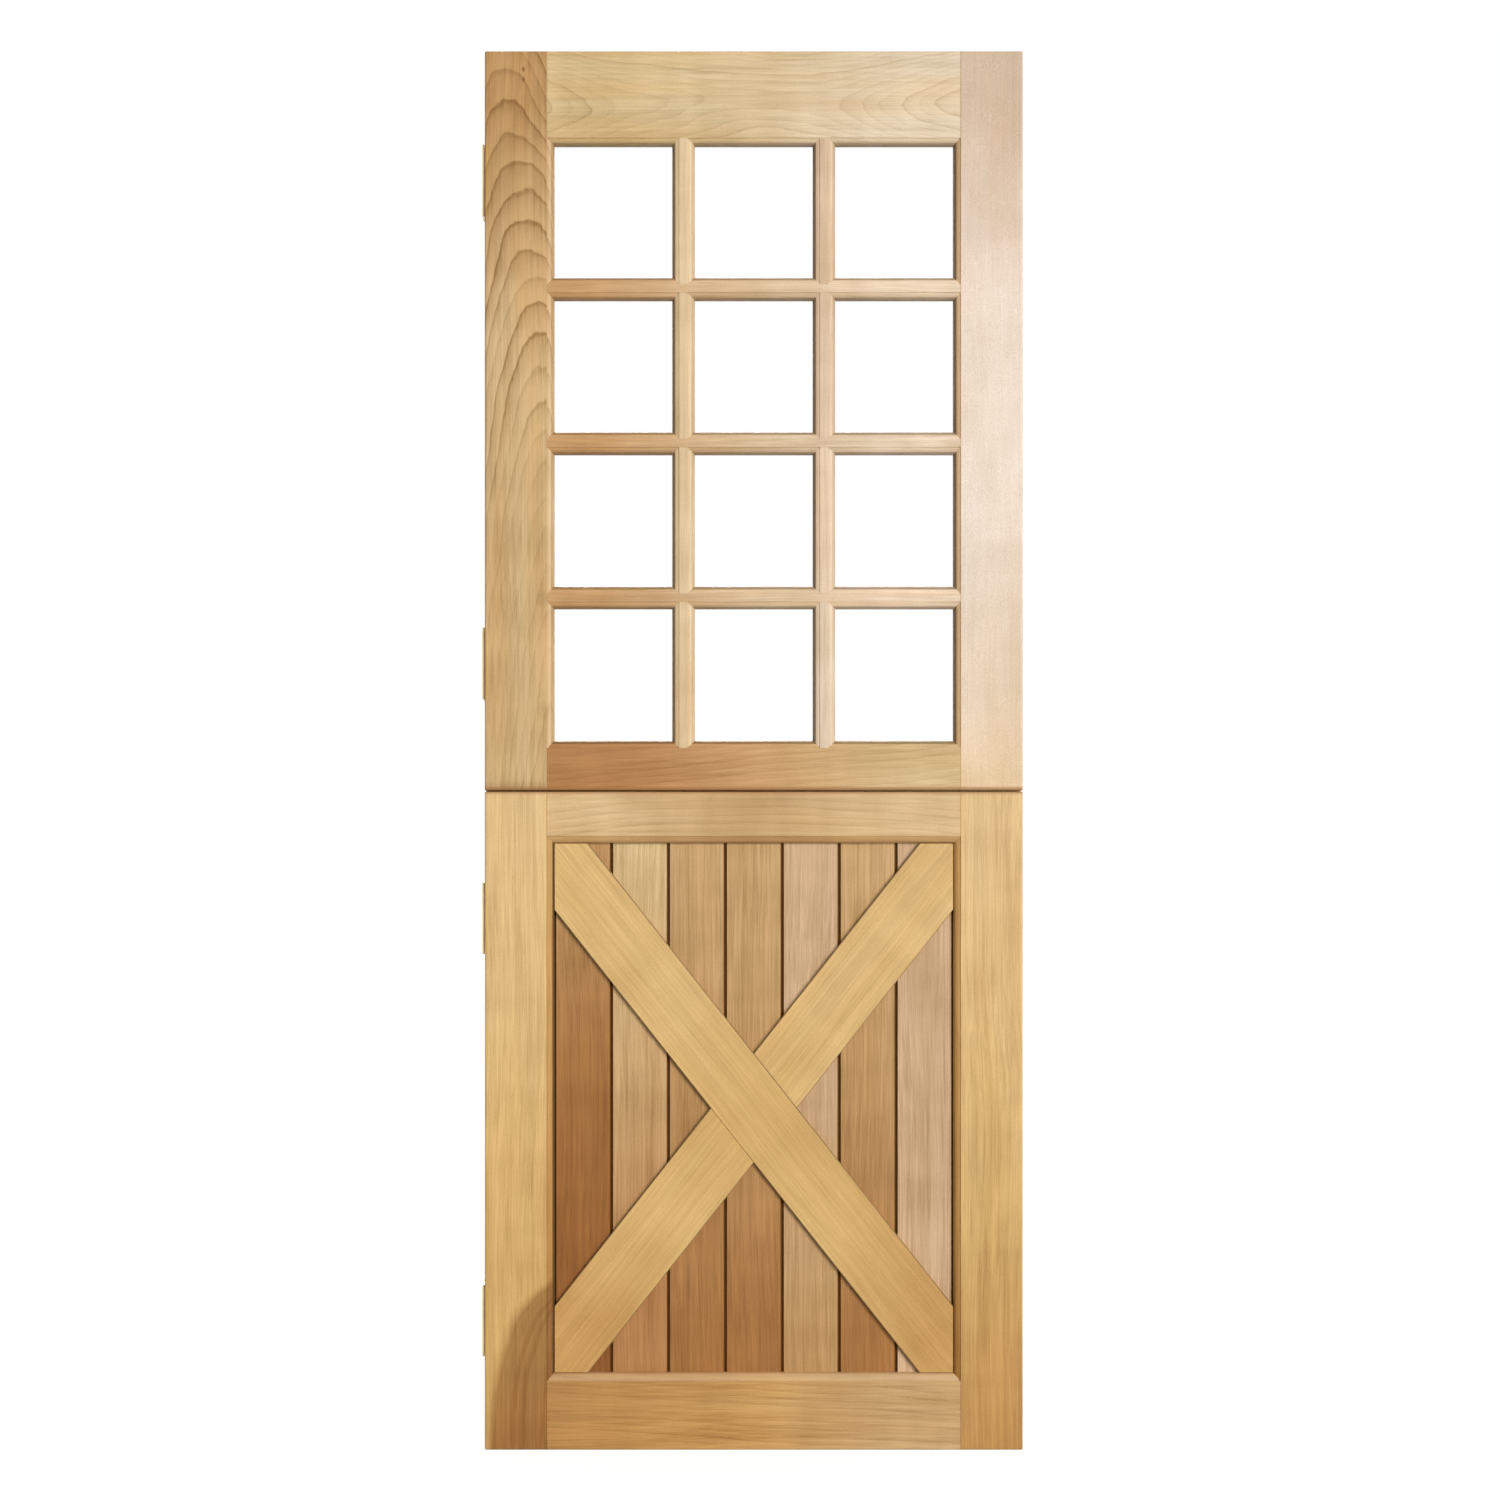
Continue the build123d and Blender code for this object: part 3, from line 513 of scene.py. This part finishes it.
def wood(name, place, halves, tones, turn=0.0, **changes):
    """Planed wood with fibres, bands, rings and slow changes of tone.

    place is the middle of the piece's face, halves are its half width and half length, turn is how
    far its grain leans from upright, and tones are the colours from its low or left end to the
    other. changes are what differs from the plain look: rings, arches and stain as their own
    functions say, marks as mark_darkness says with a strength after each, edges as the
    painted shade and highlight of moulded edges above, ends the distance of a joint's shoulders
    from the middle, arris how dark the painted shade along both long arrises is,
    groove whether its depths get the painted shade of a groove between boards, and
    seam whether it has the painted shade of the gap between the leaves.
    """
    look = {**PLAIN, **changes}
    half_width, half_length = halves
    material = bpy.data.materials.new(name)
    t = Tree(material)
    world = t.add("ShaderNodeTexCoord").outputs["Object"]
    sockets = {"Vector": world, "Location": place, "Rotation": (0, turn, 0)}
    own = t.add("ShaderNodeMapping", sockets, vector_type="TEXTURE").outputs[0]
    across, deep, along = t.split(own)
    spot = wandering(t, own, look)
    fine = t.noise(spot, FINE_SCALE, detail=2.0, roughness=0.6)
    fibre = t.noise(spot, FIBRE_SCALE, detail=2.0, roughness=0.6)
    speckle = t.noise(spot, SPECKLE_SCALE)

    colour = drifting_tone(t, spot, along, half_length, tones, look["drift"])
    colour = t.darkened(colour, grain_darkness(t, own, spot, fine, fibre, speckle, look), GRAIN_TINT)
    if look["stain"]:
        colour = t.darkened(colour, stain_darkness(t, own, spot, look["stain"]), STAIN_TINT)
    colour = edged(t, colour, across, along, half_width, look)
    # Paints the shade of the meeting gap as a brown band across the face
    if look["seam"]:
        colour = t.mix(seam_strength(t, world, deep), colour, opaque(SEAM))
    # Paints the shade inside the grooves between boards
    if look["groove"]:
        groove = t.math("MULTIPLY", t.step(deep, *GROOVE_STARTS), t.fade(deep, *GROOVE_ENDS))
        colour = t.mix(groove, colour, opaque(GROOVE))

    height = t.sum(fine, (fibre, FIBRE_RELIEF), (speckle, SPECKLE_RELIEF))
    bump = t.add("ShaderNodeBump", {**WOOD_BUMP, "Height": height})
    t.surface(t.add("ShaderNodeBsdfPrincipled", {
        "Base Color": colour,
        "Roughness": t.math("MULTIPLY_ADD", fibre, FIBRE_ROUGHNESS, ROUGHNESS),
        "Specular IOR Level": WOOD_GLOSS,
        "Normal": bump.outputs[0],
    }))
    return material


def brass(name, colour, roughness):
    """Satin brass, with fine polishing marks and a faint tarnish."""
    material = bpy.data.materials.new(name)
    t = Tree(material)
    spot = t.add("ShaderNodeTexCoord").outputs["Object"]
    marks = t.noise(spot, POLISH_SCALE, detail=1.0)
    tarnish = t.step(t.noise(spot, TARNISH_SCALE, detail=3.0), *TARNISH_SPREAD)
    bump = t.add("ShaderNodeBump", {**BRASS_BUMP, "Height": marks})
    t.surface(t.add("ShaderNodeBsdfPrincipled", {
        "Base Color": t.mix(tarnish, opaque(colour), opaque(TARNISH)),
        "Metallic": 1.0,
        "Roughness": t.math("MULTIPLY_ADD", marks, POLISH_ROUGHNESS, roughness),
        "Normal": bump.outputs[0],
    }))
    return material


def clear_glass(name):
    """Clear float glass with the faintest waviness, which lets the lamps through."""
    material = bpy.data.materials.new(name)
    t = Tree(material)
    spot = t.add("ShaderNodeTexCoord").outputs["Object"]
    bump = t.add("ShaderNodeBump", {**GLASS_BUMP, "Height": t.noise(spot, GLASS_SCALE)})
    glass = t.add("ShaderNodeBsdfPrincipled", {
        "Base Color": WHITE,
        "Roughness": 0.0,
        "IOR": GLASS_INDEX,
        "Transmission Weight": 1.0,
        "Normal": bump.outputs[0],
    })
    clear = t.add("ShaderNodeBsdfTransparent")
    shadow_ray = t.add("ShaderNodeLightPath").outputs["Is Shadow Ray"]
    t.surface(t.add("ShaderNodeMixShader", {0: shadow_ray, 1: glass.outputs[0], 2: clear.outputs[0]}))
    return material


def dress(node, material):
    nodes[node].data.materials.clear()
    nodes[node].data.materials.append(material)


def face_centre(node):
    """Middle of a node's front face."""
    low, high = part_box(node)
    return ((low.x + high.x) / 2, low.y, (low.z + high.z) / 2)


def dress_upright(node, tones, **changes):
    """Wood on a piece whose grain stands upright."""
    low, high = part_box(node)
    half = (high - low) / 2
    dress(node, wood(node + "_wood", face_centre(node), (half.x, half.z), tones, **changes))


def dress_level(node, tones, **changes):
    """Wood on a piece whose grain lies level, from left to right."""
    low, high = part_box(node)
    half = (high - low) / 2
    dress(node, wood(node + "_wood", face_centre(node), (half.z, half.x), tones, LEVEL, **changes))


def chosen(edges, *sides):
    """The painted edge shading of the named sides alone."""
    return {side: edges[side] for side in sides}


# Shoulders of the rails and bars, where they meet the stiles
SHOULDER = -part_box("upper_stile_left")[1].x + MOULDING

# Rings: almost straight grain, because the pith lies far to one side, and what some rails change
# in it; and a saddle, where the pith comes nearer in the middle of the rail
STRAIGHT = {
    "across": -0.30, "lean": 0.0, "arch": 0.0, "depth": 0.12, "sink": 0.01, "bow": 0.0,
    "width": 0.0040, "stray": 0.012,
}
SLANTING = {**STRAIGHT, "lean": -0.10, "width": 0.0100}
RISING = {**STRAIGHT, "lean": 0.06, "width": 0.0095}
DOMED = {**STRAIGHT, "arch": 0.22, "width": 0.0100}
SADDLE = {
    "across": 0.008, "lean": 0.0, "arch": 0.0, "depth": 0.10, "sink": 0.0, "bow": -0.30,
    "width": 0.0042, "stray": 0.016,
}
CATHEDRAL = {
    "across": 0.046, "lean": -0.133, "shoulder": 0.024, "fall": 0.029, "apart": 0.042,
    "sink": 6.0, "stray": 0.045, "fade": (-0.20, 0.14, 0.36, 1.0),
}

# Marks: two flecks near the top, darker and paler places beside the glass, and a darker low end
LEFT_STILE_MARKS = (
    (0.006, 0.504, 0.003, 0.005, 0.9),
    (0.006, 0.490, 0.003, 0.005, 0.9),
    (0.034, -0.245, 0.014, 0.016, 0.14),
    (0.034, -0.405, 0.014, 0.018, 0.16),
    (0.034, -0.330, 0.018, 0.060, -0.22),
    (-0.012, -0.20, 0.030, 0.10, 0.10),
    (0.0, -0.526, 0.14, 0.026, 0.42),
)
LOWER_STILE_MARK = (-0.004, -0.25, 0.012, 0.12, 0.24)
FOOT_STAIN = {"top": -0.232, "reach": 0.064, "width": 0.082, "side": -0.047, "line": 0.013}

# Tones of the upright bars, from the top row down, and of the boards, from left to right
UPRIGHTS = {"left": (LINEN, LINEN, LINEN, LINEN), "right": (BLUSH, BLUSH, PETAL, PETAL)}
BROWN_BOARD = ((0.1, RUSSET), (0.6, OCHRE), (1.0, CAMEL))
BOARDS = (
    ((0.2, CHESTNUT), (0.6, RUSSET), (1.0, OCHRE)),
    ((0.1, CLAY), (0.6, CAMEL), (1.0, STRAW)),
    BROWN_BOARD,
    BROWN_BOARD,
    ((0.1, OCHRE), (0.6, DUSK)),
    BROWN_BOARD,
    ((0.0, DUSK), (1.0, DUSK)),
)

# First seeds of the pieces that loops dress
BAR_SEED = 10
UPRIGHT_SEED = 20
BEADS_SEED = 40
BOARD_SEED = 60
BRACE_SEED = 70


def make_upper_leaf():
    # Tones on this leaf grow paler towards the right: the wood's own tones under a painted highlight of
    # glare from that side, strongest on the right stile
    dress_upright("upper_stile_left", ((0.40, BARLEY), (0.55, TAN), (0.73, CAMEL), (0.92, OAK)),
                  seed=1, arches=CATHEDRAL, figure=0.80, fibre=0.65, streak=0.45, cloud=0.50, drift=0.9,
                  marks=LEFT_STILE_MARKS, edges=chosen(STILE_EDGES, "right"), seam=True)
    # The right stile's near-white tones are a painted highlight of glare
    tones = ((0.0, CREAM), (0.1, ROSE), (0.35, PEARL), (0.65, PEARL), (0.92, FAWN))
    dress_upright("upper_stile_right", tones, seed=2, fine=0.25, fibre=0.12, streak=0.10, band=0.20,
                  cloud=0.45, speckle=0.45, drift=0.35, edges=chosen(STILE_EDGES, "left"), seam=True)
    dress_level("upper_top_rail", ((0.2, STRAW), (0.5, WHEAT), (0.8, SAND)), seed=3, rings=SADDLE,
                figure=0.32, fine=0.45, fibre=0.45, drift=0.7, edges=chosen(LIT_EDGES, "down"),
                ends=SHOULDER)
    dress_level("upper_bottom_rail", ((0.2, CLAY), (0.5, COPPER), (0.8, STRAW)), seed=4,
                rings=SLANTING, figure=0.30, fine=0.5, fibre=0.5, edges=chosen(LIT_EDGES, "up"),
                ends=SHOULDER, seam=True)
    for number in (1, 2, 3):
        dress_level(f"glazing_bar_{number}", ((0.15, GINGER), (0.5, BISCUIT), (0.85, ROSE)),
                    seed=BAR_SEED + number, streak=0.35, edges=chosen(LIT_EDGES, "up", "down"),
                    ends=SHOULDER)
    for row in (1, 2, 3, 4):
        for column, side in enumerate(UPRIGHTS):
            tone = UPRIGHTS[side][row - 1]
            dress_upright(f"bar_upright_{row}_{side}", ((0.0, tone), (1.0, tone)),
                          seed=UPRIGHT_SEED + 2 * row + column, streak=0.30, fine=0.5, fibre=0.4,
                          edges=chosen(LIT_EDGES, "left", "right"))
        dress_level(f"glazing_beads_row_{row}", ((0.0, TAN), (1.0, WHEAT)), seed=BEADS_SEED + row)


def make_lower_leaf():
    tones = ((0.0, TOFFEE), (0.14, AMBER), (0.28, AMBER), (0.6, HONEY), (1.0, BUTTER))
    dress_upright("lower_stile_left", tones, seed=50, stain=FOOT_STAIN, band=0.26,
                  edges=chosen(PANEL_EDGES, "right"), seam=True)
    tones = ((0.0, CARAMEL), (0.14, TOFFEE), (0.28, AMBER), (0.6, HONEY), (1.0, BUTTER))
    dress_upright("lower_stile_right", tones, seed=51, marks=(LOWER_STILE_MARK,), band=0.26,
                  edges=chosen(PANEL_EDGES, "left"), seam=True)
    dress_level("lower_top_rail", ((0.2, FLAX), (0.5, CAMEL), (0.8, FLAX)), seed=52, rings=DOMED,
                figure=0.28, fine=0.4, fibre=0.35, band=0.45, edges=chosen(PANEL_EDGES, "down"),
                ends=SHOULDER, seam=True)
    dress_level("lower_bottom_rail", ((0.2, CARAMEL), (0.5, TOFFEE), (0.8, CAMEL)), seed=53,
                rings=RISING, figure=0.32, streak=0.45, edges=chosen(PANEL_EDGES, "up"), ends=SHOULDER)
    for number, tones in enumerate(BOARDS, start=1):
        dress_upright(f"board_{number}", tones, seed=BOARD_SEED + number, fine=0.9, fibre=0.9,
                      streak=0.5, drift=0.25, groove=True)
    centre = face_centre("brace_long")
    halves = (BRACE_WIDTH / 2, BRACE_LENGTH / 2)
    tones = ((0.09, TOFFEE), (0.27, CORN), (0.48, AMBER), (0.7, HONEY))
    braces = (("brace_long", -1), ("brace_lower_left", 1), ("brace_upper_right", 1))
    for number, (node, lean) in enumerate(braces):
        # The braces' long arrises get a painted shade line
        dress(node, wood(node + "_wood", centre, halves, tones, lean * BRACE_LEAN,
                         seed=BRACE_SEED + number, fine=0.55, fibre=0.50, streak=0.25, band=0.28,
                         cloud=0.22, drift=0.3, wander=0.008, arris=0.68))


def make_fittings():
    plates = brass("satin_brass", *PLATE_BRASS)
    screws = brass("screw_brass", *SCREW_BRASS)
    glass = clear_glass("clear_glass")
    for name in nodes:
        if name.endswith("_plate") or name.startswith("bolt_") or name == "hinge_pins":
            dress(name, plates)
        elif name.endswith("_screws"):
            dress(name, screws)
        elif name.startswith("glass_pane"):
            dress(name, glass)


def seen_directly(t):
    """One for what the camera sees, straight, in glass or in metal, and nought for other light."""
    path = t.add("ShaderNodeLightPath").outputs
    seen = t.math("MAXIMUM", path["Is Camera Ray"], path["Is Glossy Ray"])
    return t.math("MAXIMUM", seen, path["Is Transmission Ray"])


def make_floor():
    """A pale floor that the camera sees as white, with the object's soft shadow on it."""
    bpy.ops.mesh.primitive_plane_add(size=2 * FLOOR_HALF, location=(0, 0, -FLOOR_DROP))
    floor = bpy.context.object
    floor.name = "floor"
    material = bpy.data.materials.new("floor")
    t = Tree(material)
    lift = t.math("MULTIPLY", seen_directly(t), FLOOR_LIFT)
    light = t.add("ShaderNodeEmission", {"Strength": lift})
    matt = t.add("ShaderNodeBsdfDiffuse", {"Color": (FLOOR_WHITE, FLOOR_WHITE, FLOOR_WHITE, 1.0)})
    t.surface(t.add("ShaderNodeAddShader", {0: matt.outputs[0], 1: light.outputs[0]}))
    floor.data.materials.append(material)


def make_sun(name, lamp):
    sun = bpy.data.lights.new(name, "SUN")
    sun.energy = lamp["energy"]
    sun.angle = math.radians(lamp["angle"])
    item = bpy.data.objects.new(name, sun)
    bpy.context.scene.collection.objects.link(item)
    item.rotation_euler = (math.radians(90 - lamp["elevation"]), 0, math.radians(lamp["azimuth"]))


def make_light():
    """White surroundings for the camera, glass and metal, a softer level for the wood, and suns."""
    world = bpy.data.worlds.new("studio")
    bpy.context.scene.world = world
    t = Tree(world)
    soft = t.add("ShaderNodeBackground", {"Color": WHITE, "Strength": WORLD_LEVEL})
    white = t.add("ShaderNodeBackground", {"Color": WHITE, "Strength": 1.0})
    sockets = {0: seen_directly(t), 1: soft.outputs[0], 2: white.outputs[0]}
    mixed = t.add("ShaderNodeMixShader", sockets)
    t.add("ShaderNodeOutputWorld", {"Surface": mixed.outputs[0]})
    make_sun("key", KEY)
    make_sun("rear", REAR)


def make_camera():
    door_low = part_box("lower_stile_left")[0]
    door_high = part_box("upper_stile_right")[1]
    size = (door_high.x - door_low.x, door_high.z - door_low.z)
    pixels_per_metre = (DOOR_PIXELS[0] / size[0] + DOOR_PIXELS[1] / size[1]) / 2
    camera = bpy.data.cameras.new("camera")
    camera.sensor_width = SENSOR
    camera.lens = SENSOR * pixels_per_metre * CAMERA_DISTANCE / PICTURE
    item = bpy.data.objects.new("camera", camera)
    bpy.context.scene.collection.objects.link(item)
    item.location = (
        (door_low.x + door_high.x) / 2 - (DOOR_CENTRE[0] - PICTURE / 2) / pixels_per_metre,
        door_low.y - CAMERA_DISTANCE,
        (door_low.z + door_high.z) / 2 + (DOOR_CENTRE[1] - PICTURE / 2) / pixels_per_metre,
    )
    item.rotation_euler = (math.pi / 2, 0, 0)
    bpy.context.scene.camera = item


make_camera()
make_upper_leaf()
make_lower_leaf()
make_fittings()
make_floor()
make_light()
bpy.context.scene.view_settings.view_transform = "Standard"
